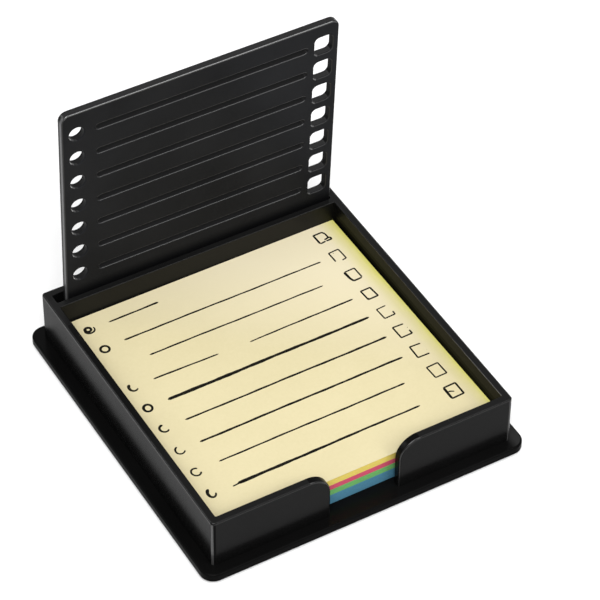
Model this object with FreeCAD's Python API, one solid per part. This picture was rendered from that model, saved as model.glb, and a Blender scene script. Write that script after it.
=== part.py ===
import FreeCAD, Part
import math
import os

from FreeCAD import Vector

# Desk holder for a stack of 3 inch sticky notes, with a loose stencil plate that stands in a pocket at the back.
# Millimetres. Origin: centre of the base in plan, on the surface that the feet stand on.
# +X to the right, +Y to the back, +Z up.

# ---- driving dimensions -------------------------------------------------------------------------------------------
# base flange
BASE_W = 86.6            # across, X
BASE_D = 92.1            # front to back, Y
BASE_T = 2.2             # thickness, which is the tray's floor too
BASE_CORNER_R = 3.5
BASE_TOP_R = 0.45        # softened upper edge
BASE_UNDER_R = 0.30      # softened lower edge

# anti-slip feet
FOOT_R = 4.0
FOOT_T = 0.9
FOOT_PROUD = 0.55        # how far the feet stand below the base
FOOT_RECESS_R = 4.3
FOOT_X = 34.0
FOOT_Y = 37.0

# tray walls
TRAY_W = 80.5
TRAY_D = 86.2
WALL_H = 14.0            # above the floor
WALL_T = 2.0
TRAY_CORNER_R = 1.0
WELL_CORNER_R = 0.25
RIM_R = 0.45             # outer edge of the rim
RIM_IN_R = 0.20          # inner edges of the rim

# partition and pocket at the back
PART_FRONT_Y = 36.5
PART_T = 1.7
POCKET_CORNER_R = 0.3

# finger notch in the front wall
NOTCH_HALF_W = 9.2
NOTCH_LOBE_R = 5.5

# sticky notes
NOTE_W = 76.0            # sold as 3 inches
NOTE_MID_Y = -1.78         # the stack lies a little towards the back of the well
NOTE_TURN = 0.30          # degrees, and it is turned by a hair
FLOOR_GAP = 0.02
TOP_NOTE_T = 0.12
BLOCKS = [("blue_notes", 3.02), ("green_notes", 1.75), ("pink_notes", 1.56), ("yellow_notes", 1.73)]

# stencil plate
PLATE_W = 73.6
PLATE_H = 73.8
PLATE_T = 2.05
PLATE_LEFT_X = -35.67    # pushed towards the right-hand end of the pocket
PLATE_LEAN = 3.05        # degrees forward, resting on the partition's rear edge
PLATE_CORNER_R = 2.2
PLATE_EDGE_R = 0.28
PLATE_BELOW = 13.98      # length of plate below the rim
PLATE_CLEAR = 0.06       # between its front face and the partition's rear upper edge
ROWS = 7                 # below them the plate is plain, where the pocket grips it
ROW_PITCH = 7.71
ROW_TOP = 6.67           # first row below the upper edge
ROUND_X = 3.97           # centre of the round holes from the left edge
ROUND_R = 1.95
SQUARE_X = 69.53         # centre of the square holes from the left edge
SQUARE_W = 4.9
SQUARE_H = 5.4
SQUARE_R = 1.35
SLOT_X0 = 8.88
SLOT_X1 = 65.10
SLOT_H = 1.65

# ---- derived levels -----------------------------------------------------------------------------------------------
Z_UNDER = FOOT_PROUD
Z_FLOOR = Z_UNDER + BASE_T
Z_RIM = Z_FLOOR + WALL_H


def rounded_wire(x0, x1, y0, y1, z, r):
    """Closed rectangle with rounded corners in the plane at height z."""
    c = math.sqrt(0.5) * r
    p = [
        Vector(x0 + r, y0, z), Vector(x1 - r, y0, z), Vector(x1 - r + c, y0 + r - c, z),
        Vector(x1, y0 + r, z), Vector(x1, y1 - r, z), Vector(x1 - r + c, y1 - r + c, z),
        Vector(x1 - r, y1, z), Vector(x0 + r, y1, z), Vector(x0 + r - c, y1 - r + c, z),
        Vector(x0, y1 - r, z), Vector(x0, y0 + r, z), Vector(x0 + r - c, y0 + r - c, z),
    ]
    edges = []
    for i in range(0, 12, 3):
        edges.append(Part.LineSegment(p[i], p[i + 1]).toShape())
        edges.append(Part.Arc(p[i + 1], p[i + 2], p[(i + 3) % 12]).toShape())
    return Part.Wire(edges)


def rounded_block(x0, x1, y0, y1, z0, z1, r):
    return Part.Face(rounded_wire(x0, x1, y0, y1, z0, r)).extrude(Vector(0, 0, z1 - z0))


def edges_where(shape, test):
    return [e for e in shape.Edges if test(e.BoundBox)]


def flat_at(z, tol=1e-4):
    return lambda b: abs(b.ZMin - z) < tol and abs(b.ZMax - z) < tol


def write(name, shape):
    if not shape.isValid():
        raise RuntimeError(name + " is not valid")
    shape.exportStep("parts/" + name + ".step")
    box = shape.BoundBox
    print("%-16s solids %d  x %.2f..%.2f  y %.2f..%.2f  z %.2f..%.2f  volume %.1f" % (
        name, len(shape.Solids), box.XMin, box.XMax, box.YMin, box.YMax, box.ZMin, box.ZMax, shape.Volume))


# ---- tray ---------------------------------------------------------------------------------------------------------
def make_base():
    base = rounded_block(-BASE_W / 2, BASE_W / 2, -BASE_D / 2, BASE_D / 2, Z_UNDER, Z_FLOOR, BASE_CORNER_R)
    base = base.makeFillet(BASE_TOP_R, edges_where(base, flat_at(Z_FLOOR)))
    base = base.makeFillet(BASE_UNDER_R, edges_where(base, flat_at(Z_UNDER)))
    return base


def notch_cutter():
    """The opening in the front wall: straight sides from the floor, turning outwards in a rounded lobe at the rim."""
    y = -TRAY_D / 2 - 1.0
    w, r, top = NOTCH_HALF_W, NOTCH_LOBE_R, Z_RIM + 1.0
    c = math.sqrt(0.5) * r
    cx, cz = w + r, Z_RIM - r

    def at(x, z):
        return Vector(x, y, z)

    edges = [
        Part.LineSegment(at(-w, Z_FLOOR), at(w, Z_FLOOR)).toShape(),
        Part.LineSegment(at(w, Z_FLOOR), at(w, cz)).toShape(),
        Part.Arc(at(w, cz), at(cx - c, cz + c), at(cx, Z_RIM)).toShape(),
        Part.LineSegment(at(cx, Z_RIM), at(cx, top)).toShape(),
        Part.LineSegment(at(cx, top), at(-cx, top)).toShape(),
        Part.LineSegment(at(-cx, top), at(-cx, Z_RIM)).toShape(),
        Part.Arc(at(-cx, Z_RIM), at(-cx + c, cz + c), at(-w, cz)).toShape(),
        Part.LineSegment(at(-w, cz), at(-w, Z_FLOOR)).toShape(),
    ]
    return Part.Face(Part.Wire(edges)).extrude(Vector(0, WALL_T + 2.5, 0))


def make_tray():
    x, y = TRAY_W / 2, TRAY_D / 2
    walls = rounded_block(-x, x, -y, y, Z_FLOOR, Z_RIM, TRAY_CORNER_R)
    walls = walls.makeFillet(RIM_R, edges_where(walls, flat_at(Z_RIM)))
    well = rounded_block(-x + WALL_T, x - WALL_T, -y + WALL_T, PART_FRONT_Y, Z_FLOOR - 0.5, Z_RIM + 1, WELL_CORNER_R)
    pocket = rounded_block(-x + WALL_T, x - WALL_T, PART_FRONT_Y + PART_T, y - WALL_T, Z_FLOOR - 0.5, Z_RIM + 1,
                           POCKET_CORNER_R)
    walls = walls.cut(well).cut(pocket)
    inner = edges_where(walls, lambda b: abs(b.ZMin - Z_RIM) < 1e-4 and abs(b.ZMax - Z_RIM) < 1e-4
                        and b.XMin > -x + WALL_T - 0.01 and b.XMax < x - WALL_T + 0.01
                        and b.YMin > -y + WALL_T - 0.01 and b.YMax < y - WALL_T + 0.01)
    walls = walls.makeFillet(RIM_IN_R, inner)
    walls = walls.cut(notch_cutter())
    tray = make_base().fuse(walls).removeSplitter()
    # shallow seats for the feet, and the mark that the moulding gate leaves
    for sx in (-1, 1):
        for sy in (-1, 1):
            seat = Part.makeCylinder(FOOT_RECESS_R, FOOT_T - FOOT_PROUD, Vector(sx * FOOT_X, sy * FOOT_Y, Z_UNDER))
            tray = tray.cut(seat)
    tray = tray.cut(Part.makeCylinder(2.5, 0.3, Vector(0, 0, Z_UNDER)))
    return tray


# ---- feet ---------------------------------------------------------------------------------------------------------
def make_feet():
    feet = []
    for sx in (-1, 1):
        for sy in (-1, 1):
            disc = Part.makeCylinder(FOOT_R, FOOT_T, Vector(sx * FOOT_X, sy * FOOT_Y, 0))
            disc = disc.makeFillet(0.15, edges_where(disc, flat_at(0.0)))
            feet.append(disc)
    return Part.makeCompound(feet)


# ---- sticky notes -------------------------------------------------------------------------------------------------
def note_block(z0, thickness):
    block = Part.makeBox(NOTE_W, NOTE_W, thickness, Vector(-NOTE_W / 2, NOTE_MID_Y - NOTE_W / 2, z0))
    block.rotate(Vector(0, NOTE_MID_Y, 0), Vector(0, 0, 1), NOTE_TURN)
    return block


# ---- stencil plate ------------------------------------------------------------------------------------------------
def stencil_hole(cx, cz, w, h, r):
    """A rounded rectangular hole through the plate, which is drawn lying in XZ with its front face at y = 0."""
    x0, x1, z0, z1 = cx - w / 2, cx + w / 2, cz - h / 2, cz + h / 2
    block = rounded_block(x0, x1, z0, z1, -1.0, PLATE_T + 1.0, r)
    # rounded_block builds along Z: turn it so that its depth runs along Y
    block.rotate(Vector(0, 0, 0), Vector(1, 0, 0), 90)
    block.translate(Vector(0, PLATE_T, 0))
    return block


def make_plate():
    flat = rounded_block(0, PLATE_W, 0, PLATE_H, 0, PLATE_T, PLATE_CORNER_R)
    rim = [e for e in flat.Edges if abs(e.BoundBox.ZMax - e.BoundBox.ZMin) < 1e-4]
    flat = flat.makeFillet(PLATE_EDGE_R, rim)
    flat.rotate(Vector(0, 0, 0), Vector(1, 0, 0), 90)
    flat.translate(Vector(0, PLATE_T, 0))
    holes = []
    for i in range(ROWS):
        z = PLATE_H - ROW_TOP - i * ROW_PITCH
        ring = Part.makeCylinder(ROUND_R, PLATE_T + 2.0, Vector(ROUND_X, -1.0, z), Vector(0, 1, 0))
        holes.append(ring)
        holes.append(stencil_hole(SQUARE_X, z, SQUARE_W, SQUARE_H, SQUARE_R))
        holes.append(stencil_hole((SLOT_X0 + SLOT_X1) / 2, z, SLOT_X1 - SLOT_X0, SLOT_H, SLOT_H / 2 - 0.001))
    plate = flat.cut(Part.makeCompound(holes))
    # stand it in the pocket: its front face passes just behind the partition's rear upper edge, and it leans forward
    lean = math.radians(PLATE_LEAN)
    plate.rotate(Vector(0, 0, 0), Vector(1, 0, 0), PLATE_LEAN)
    face_y, face_z = PART_FRONT_Y + PART_T + PLATE_CLEAR, Z_RIM
    plate.translate(Vector(PLATE_LEFT_X, face_y + PLATE_BELOW * math.sin(lean), face_z - PLATE_BELOW * math.cos(lean)))
    return plate


tray = make_tray()
write("tray", tray)
feet = make_feet()
write("anti_slip_feet", feet)

z = Z_FLOOR + FLOOR_GAP
for name, thickness in BLOCKS:
    write(name, note_block(z, thickness))
    z += thickness
write("top_note", note_block(z, TOP_NOTE_T))
print("top of the notes", round(z + TOP_NOTE_T, 3), "hinge height", round(z, 3))

plate = make_plate()
write("stencil_plate", plate)

# clearances that the sliding parts rely on
for name, other in (("tray", tray),):
    print("plate to", name, "gap", round(plate.distToShape(other)[0], 4), "shared", round(plate.common(other).Volume, 5))
lean = math.radians(PLATE_LEAN)
for travel in (0.0, 5.0, 10.0, 14.0, 20.0):
    moved = plate.copy()
    moved.translate(Vector(0, -math.sin(lean) * travel, math.cos(lean) * travel))
    print("plate up", travel, "shared with tray", round(moved.common(tray).Volume, 5),
          "gap", round(moved.distToShape(tray)[0], 3))
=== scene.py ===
import bpy
import bmesh
import math
import random

import numpy as np
from mathutils import Matrix, Vector
from mathutils.geometry import delaunay_2d_cdt


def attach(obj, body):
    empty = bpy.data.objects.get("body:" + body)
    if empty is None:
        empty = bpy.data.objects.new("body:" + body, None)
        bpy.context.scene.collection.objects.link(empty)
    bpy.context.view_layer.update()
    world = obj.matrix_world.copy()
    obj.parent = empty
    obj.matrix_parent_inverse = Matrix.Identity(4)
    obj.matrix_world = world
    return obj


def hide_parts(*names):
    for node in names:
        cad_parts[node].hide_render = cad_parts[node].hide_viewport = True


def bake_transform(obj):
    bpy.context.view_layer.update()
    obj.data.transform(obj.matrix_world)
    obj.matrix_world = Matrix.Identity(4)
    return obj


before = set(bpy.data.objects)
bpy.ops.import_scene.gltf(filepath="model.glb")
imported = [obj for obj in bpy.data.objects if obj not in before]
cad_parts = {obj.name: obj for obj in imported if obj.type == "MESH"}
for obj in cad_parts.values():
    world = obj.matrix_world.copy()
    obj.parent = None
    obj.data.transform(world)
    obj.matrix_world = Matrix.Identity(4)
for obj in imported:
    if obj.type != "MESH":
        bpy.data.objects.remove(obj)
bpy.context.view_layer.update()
SCENE = bpy.context.scene
MM = 0.001

# ---------------------------------------------------------------------------------------------------------------
# dimensions of the frame, in millimetres
# ---------------------------------------------------------------------------------------------------------------
BASE_W, BASE_D, BASE_T, BASE_CORNER_R, BASE_TOP_R, BASE_UNDER_R = 86.6, 92.1, 2.2, 3.5, 0.45, 0.30
FOOT_R, FOOT_T, FOOT_PROUD, FOOT_RECESS_R, FOOT_X, FOOT_Y = 4.0, 0.9, 0.55, 4.3, 34.0, 37.0
TRAY_W, TRAY_D, WALL_H, WALL_T = 80.5, 86.2, 14.0, 2.0
TRAY_CORNER_R, WELL_CORNER_R, RIM_R, RIM_IN_R = 1.0, 0.25, 0.45, 0.20
PART_FRONT_Y, PART_T, POCKET_CORNER_R = 36.5, 1.7, 0.3
NOTCH_HALF_W, NOTCH_LOBE_R = 9.2, 5.5
NOTE_W, NOTE_MID_Y, NOTE_TURN, FLOOR_GAP, TOP_NOTE_T = 76.0, -1.78, math.radians(0.30), 0.02, 0.12
NOTE_BACK_Y = NOTE_MID_Y + NOTE_W / 2
PLATE_W, PLATE_H, PLATE_T, PLATE_LEFT_X, PLATE_LEAN = 73.6, 73.8, 2.05, -35.67, math.radians(3.05)
PLATE_CORNER_R, PLATE_BELOW, PLATE_CLEAR = 2.2, 13.98, 0.06
ROWS, ROW_PITCH, ROW_TOP = 7, 7.71, 6.67
ROUND_X, ROUND_R = 3.97, 1.95
SQUARE_X, SQUARE_W, SQUARE_H, SQUARE_R = 69.53, 4.9, 5.4, 1.35
SLOT_X0, SLOT_X1, SLOT_H = 8.88, 65.10, 1.65
Z_UNDER = FOOT_PROUD
Z_FLOOR = Z_UNDER + BASE_T
Z_RIM = Z_FLOOR + WALL_H


# ---------------------------------------------------------------------------------------------------------------
# mesh helpers
# ---------------------------------------------------------------------------------------------------------------
def new_object(name, verts, faces, smooth=True):
    mesh = bpy.data.meshes.new(name)
    mesh.from_pydata([tuple(c * MM for c in v) for v in verts], [], faces)
    mesh.validate()
    mesh.update()
    for p in mesh.polygons:
        p.use_smooth = smooth
    o = bpy.data.objects.new(name, mesh)
    SCENE.collection.objects.link(o)
    return o


def arc(cx, cy, r, a0, a1, n):
    """n + 1 points of a circular arc, angles in degrees."""
    return [(cx + r * math.cos(math.radians(a0 + (a1 - a0) * i / n)),
             cy + r * math.sin(math.radians(a0 + (a1 - a0) * i / n))) for i in range(n + 1)]


def rounded_rect(cx, cy, hw, hh, r, n, along=0):
    """Counter-clockwise loop of a rounded rectangle, with extra points along its straight sides if along is set."""
    pts = []
    corners = [(cx + hw - r, cy - hh + r, -90), (cx + hw - r, cy + hh - r, 0),
               (cx - hw + r, cy + hh - r, 90), (cx - hw + r, cy - hh + r, 180)]
    for k, (x, y, a) in enumerate(corners):
        a_pts = arc(x, y, r, a, a + 90, n)
        if pts and along:
            x0, y0 = pts[-1]
            x1, y1 = a_pts[0]
            pts += [(x0 + (x1 - x0) * j / along, y0 + (y1 - y0) * j / along) for j in range(1, along)]
        pts += a_pts
    if along:
        x0, y0 = pts[-1]
        x1, y1 = pts[0]
        pts += [(x0 + (x1 - x0) * j / along, y0 + (y1 - y0) * j / along) for j in range(1, along)]
    return pts


def finish_shading(o, sharp_deg=38.0):
    """Smooth shading that keeps flat faces flat: weighted normals, sharp only where the surface really turns."""
    mesh = o.data
    bm = bmesh.new()
    bm.from_mesh(mesh)
    for f in bm.faces:
        f.smooth = True
    limit = math.radians(sharp_deg)
    for e in bm.edges:
        e.smooth = not (len(e.link_faces) == 2 and e.calc_face_angle(0.0) > limit)
    bm.to_mesh(mesh)
    bm.free()
    m = o.modifiers.new("weighted", "WEIGHTED_NORMAL")
    m.mode = "FACE_AREA"
    m.weight = 80
    m.keep_sharp = True
    return o


def apply_modifiers(o):
    bpy.context.view_layer.update()
    dg = bpy.context.evaluated_depsgraph_get()
    mesh = bpy.data.meshes.new_from_object(o.evaluated_get(dg), preserve_all_data_layers=True, depsgraph=dg)
    o.modifiers.clear()
    old = o.data
    o.data = mesh
    mesh.name = o.name
    bpy.data.meshes.remove(old)
    return o


def boolean(o, other, operation):
    m = o.modifiers.new("bool", "BOOLEAN")
    m.object = other
    m.operation = operation
    m.solver = "EXACT"
    apply_modifiers(o)
    bpy.data.objects.remove(other)
    return o


def clean(o, dist=1e-6):
    bm = bmesh.new()
    bm.from_mesh(o.data)
    bmesh.ops.remove_doubles(bm, verts=bm.verts, dist=dist)
    bmesh.ops.dissolve_degenerate(bm, edges=bm.edges, dist=dist)
    bmesh.ops.recalc_face_normals(bm, faces=bm.faces)
    loose = [v for v in bm.verts if not v.link_faces]
    bmesh.ops.delete(bm, geom=loose, context="VERTS")
    open_edges = sum(1 for e in bm.edges if len(e.link_faces) != 2)
    bm.to_mesh(o.data)
    bm.free()
    print(o.name, "faces", len(o.data.polygons), "open edges", open_edges)
    return o


def cylinder(name, x, y, z0, z1, r, n=64, round_low=0.0, round_steps=4):
    """A closed disc with an optional rounded lower edge."""
    rings = []
    if round_low:
        for k in range(round_steps + 1):
            a = math.pi / 2 * k / round_steps
            rings.append((r - round_low * (1 - math.sin(a)), z0 + round_low * (1 - math.cos(a))))
    else:
        rings.append((r, z0))
    rings.append((r, z1))
    verts, faces = [], []
    for rr, z in rings:
        verts += [(x + rr * math.cos(2 * math.pi * i / n), y + rr * math.sin(2 * math.pi * i / n), z) for i in range(n)]
    for k in range(len(rings) - 1):
        for i in range(n):
            j = (i + 1) % n
            faces.append((k * n + i, k * n + j, (k + 1) * n + j, (k + 1) * n + i))
    faces.append(tuple(reversed(range(n))))
    faces.append(tuple(range((len(rings) - 1) * n, len(rings) * n)))
    return new_object(name, verts, faces)


# ---------------------------------------------------------------------------------------------------------------
# tray: base flange, walls, partition and notch as one moulding
# ---------------------------------------------------------------------------------------------------------------
def make_slab():
    n, seg = 12, 5
    hw, hd = BASE_W / 2, BASE_D / 2
    rings = []
    for k in range(seg + 1):
        a = math.pi / 2 * k / seg
        rings.append((BASE_UNDER_R * (1 - math.sin(a)), Z_UNDER + BASE_UNDER_R * (1 - math.cos(a))))
    for k in range(seg + 1):
        a = math.pi / 2 * k / seg
        rings.append((BASE_TOP_R * (1 - math.cos(a)), Z_FLOOR - BASE_TOP_R * (1 - math.sin(a))))
    verts, faces = [], []
    for inset, z in rings:
        loop = rounded_rect(0, 0, hw - inset, hd - inset, BASE_CORNER_R - inset, n)
        verts += [(x, y, z) for x, y in loop]
        count = len(loop)
    for k in range(len(rings) - 1):
        for i in range(count):
            j = (i + 1) % count
            faces.append((k * count + i, k * count + j, (k + 1) * count + j, (k + 1) * count + i))
    faces.append(tuple(reversed(range(count))))
    faces.append(tuple(range((len(rings) - 1) * count, len(rings) * count)))
    return new_object("tray_slab", verts, faces)


def make_walls():
    """The walls and the partition as one C-shaped block, open at the finger notch, with rounded rims."""
    bm = bmesh.new()
    cache = {}

    def vert(x, y, z):
        key = (round(x, 5), round(y, 5), round(z, 5))
        if key not in cache:
            cache[key] = bm.verts.new((x, y, z))
        return cache[key]

    def face(points):
        seen, vs = set(), []
        for p in points:
            v = vert(*p)
            if v not in seen:
                seen.add(v)
                vs.append(v)
        return bm.faces.new(vs)

    ox, oy, r = TRAY_W / 2, TRAY_D / 2, TRAY_CORNER_R
    ix, iy, ri = ox - WALL_T, -oy + WALL_T, WELL_CORNER_R
    zb, zt = Z_FLOOR - 0.6, Z_RIM
    lobe_x = NOTCH_HALF_W + NOTCH_LOBE_R
    by = 30.0                                   # where the rim's top is split into simpler faces
    py0, py1, pr = PART_FRONT_Y + PART_T, oy - WALL_T, POCKET_CORNER_R
    pm = (py0 + py1) / 2
    nc, ni, npk = 10, 8, 6

    outer = ([(ox, by), (ox, pm)] + arc(ox - r, oy - r, r, 0, 90, nc) + arc(-ox + r, oy - r, r, 90, 180, nc)
             + [(-ox, pm), (-ox, by)])
    outer_right = [(lobe_x, -oy)] + arc(ox - r, -oy + r, r, -90, 0, nc) + [(ox, by)]
    outer_left = [(-ox, by)] + arc(-ox + r, -oy + r, r, 180, 270, nc) + [(-lobe_x, -oy)]
    well_right = [(lobe_x, iy)] + arc(ix - ri, iy + ri, ri, -90, 0, ni) + [(ix, by)]
    well_rear = ([(ix, by)] + arc(ix - ri, PART_FRONT_Y - ri, ri, 0, 90, ni)
                 + arc(-ix + ri, PART_FRONT_Y - ri, ri, 90, 180, ni) + [(-ix, by)])
    well_left = [(-ix, by)] + arc(-ix + ri, iy + ri, ri, 180, 270, ni) + [(-lobe_x, iy)]
    pocket_front = ([(-ix, pm)] + arc(-ix + pr, py0 + pr, pr, 180, 270, npk)
                    + arc(ix - pr, py0 + pr, pr, -90, 0, npk) + [(ix, pm)])
    pocket_back = ([(ix, pm)] + arc(ix - pr, py1 - pr, pr, 0, 90, npk)
                   + arc(-ix + pr, py1 - pr, pr, 90, 180, npk) + [(-ix, pm)])

    def band(path, outward=True):
        """Vertical faces along a plan path, from the embedded foot of the wall to the rim."""
        for a, b in zip(path, path[1:]):
            if a == b:
                continue
            quad = [(a[0], a[1], zb), (b[0], b[1], zb), (b[0], b[1], zt), (a[0], a[1], zt)]
            face(quad if outward else quad[::-1])

    band(outer_right[1:])
    band(outer)
    band(outer_left[:-1])
    band(well_right[1:], False)
    band(well_rear, False)
    band(well_left[:-1], False)
    band(pocket_front, False)
    band(pocket_back, False)

    def at(path, z):
        return [(x, y, z) for x, y in path]

    nl = 20
    lobe = [(lobe_x - NOTCH_LOBE_R * math.sin(math.pi / 2 * k / nl),
             zt - NOTCH_LOBE_R * (1 - math.cos(math.pi / 2 * k / nl))) for k in range(nl + 1)]  # from the rim down
    nw = NOTCH_HALF_W
    for s in (1, -1):
        front_end = (s * (ox - r), -oy)
        inner_end = (s * (ix - ri), iy)
        outer_face = ([(s * nw, -oy, zb), (front_end[0], -oy, zb), (front_end[0], -oy, zt)]
                      + [(s * x, -oy, z) for x, z in lobe])
        inner_face = ([(s * nw, iy, zb), (inner_end[0], iy, zb), (inner_end[0], iy, zt)]
                      + [(s * x, iy, z) for x, z in lobe])
        face(outer_face if s > 0 else outer_face[::-1])
        face(inner_face[::-1] if s > 0 else inner_face)
        for (xa, za), (xb, zc) in zip(lobe, lobe[1:]):
            quad = [(s * xa, -oy, za), (s * xa, iy, za), (s * xb, iy, zc), (s * xb, -oy, zc)]
            face(quad if s > 0 else quad[::-1])
        quad = [(s * nw, -oy, lobe[-1][1]), (s * nw, iy, lobe[-1][1]), (s * nw, iy, zb), (s * nw, -oy, zb)]
        face(quad if s > 0 else quad[::-1])

    # rim, and the embedded underside
    for z, flip in ((zt, False), (zb, True)):
        def planar(points):
            face(points[::-1] if flip else points)
        front_r = [(lobe_x, -oy)] if not flip else [(nw, -oy)]
        front_l = [(-lobe_x, -oy)] if not flip else [(-nw, -oy)]
        in_r = [(lobe_x, iy)] if not flip else [(nw, iy)]
        in_l = [(-lobe_x, iy)] if not flip else [(-nw, iy)]
        planar(at(front_r + outer_right[1:] + list(reversed(well_right[1:])) + in_r, z))
        planar(at(outer_left[:-1] + front_l + in_l + list(reversed(well_left[:-1])), z))
        k = 1                                                   # outer[1] is (ox, pm)
        m = len(outer) - 2                                      # outer[-2] is (-ox, pm)
        planar(at(outer[k:m + 1] + list(reversed(pocket_back)), z))
        planar(at([outer[0], outer[1]] + list(reversed(pocket_front)) + [outer[-2], outer[-1]]
                  + list(reversed(well_rear)), z))
    bmesh.ops.recalc_face_normals(bm, faces=bm.faces)

    def on_outer(p):
        return (abs(abs(p.x) - ox) < 1e-4 or abs(p.y + oy) < 1e-4 or abs(p.y - oy) < 1e-4
                or math.hypot(abs(p.x) - (ox - r), abs(p.y) - (oy - r)) > r - 1e-3
                and abs(p.x) > ox - r - 1e-4 and abs(p.y) > oy - r - 1e-4)

    def pick(which):
        out = []
        for e in bm.edges:
            if len(e.link_faces) != 2 or e.calc_face_angle(0.0) < math.radians(60):
                continue
            a, b = e.verts[0].co, e.verts[1].co
            if a.z < zb + 1e-4 and b.z < zb + 1e-4:
                continue
            outer_edge = on_outer(a) and on_outer(b)
            front = abs(a.y) > oy - 1e-4 or abs(b.y) > oy - 1e-4
            if which == "outer" and outer_edge:
                out.append(e)
            if which == "inner" and not outer_edge and not (on_outer(a) or on_outer(b)):
                out.append(e)
        return out

    outer_edges = pick("outer")
    bmesh.ops.bevel(bm, geom=outer_edges, offset=RIM_R, offset_type="OFFSET", segments=5, profile=0.5,
                    affect="EDGES", clamp_overlap=False)
    inner_edges = pick("inner")
    bmesh.ops.bevel(bm, geom=inner_edges, offset=RIM_IN_R, offset_type="OFFSET", segments=4, profile=0.5,
                    affect="EDGES", clamp_overlap=False)
    bmesh.ops.recalc_face_normals(bm, faces=bm.faces)
    mesh = bpy.data.meshes.new("tray_walls")
    bm.transform(Matrix.Scale(MM, 4))
    bm.to_mesh(mesh)
    bm.free()
    o = bpy.data.objects.new("tray_walls", mesh)
    SCENE.collection.objects.link(o)
    return o


def split_inner_wall(tray):
    """Two level cuts along the right wall's inner face, so its foot can reflect less than its top: painted shade,
    standing in for the shadow below the note's edge.
    """
    bm = bmesh.new()
    bm.from_mesh(tray.data)
    for level in INNER_LEVELS:
        wall = [f for f in bm.faces if f.normal.x < -0.99
                and abs(f.calc_center_median().x / MM - (TRAY_W / 2 - WALL_T)) < 0.05
                and min(v.co.z for v in f.verts) < (level - 0.5) * MM and max(v.co.z for v in f.verts) > (level + 0.5) * MM]
        geom = wall + list({e for f in wall for e in f.edges}) + list({v for f in wall for v in f.verts})
        bmesh.ops.bisect_plane(bm, geom=geom, dist=1e-7, plane_co=(0, 0, level * MM), plane_no=(0, 0, 1))
    bm.to_mesh(tray.data)
    bm.free()


def make_tray():
    tray = make_walls()
    clean(tray)
    boolean(tray, make_slab(), "UNION")
    for sx in (-1, 1):
        for sy in (-1, 1):
            boolean(tray, cylinder("seat", sx * FOOT_X, sy * FOOT_Y, Z_UNDER - 1.0, Z_UNDER + FOOT_T - FOOT_PROUD,
                                   FOOT_RECESS_R), "DIFFERENCE")
    boolean(tray, cylinder("gate", 0, 0, Z_UNDER - 1.0, Z_UNDER + 0.3, 2.5, 48), "DIFFERENCE")
    tray.name = "tray_moulding"
    clean(tray, 2e-7)
    split_inner_wall(tray)
    finish_shading(tray)
    return tray


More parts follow.
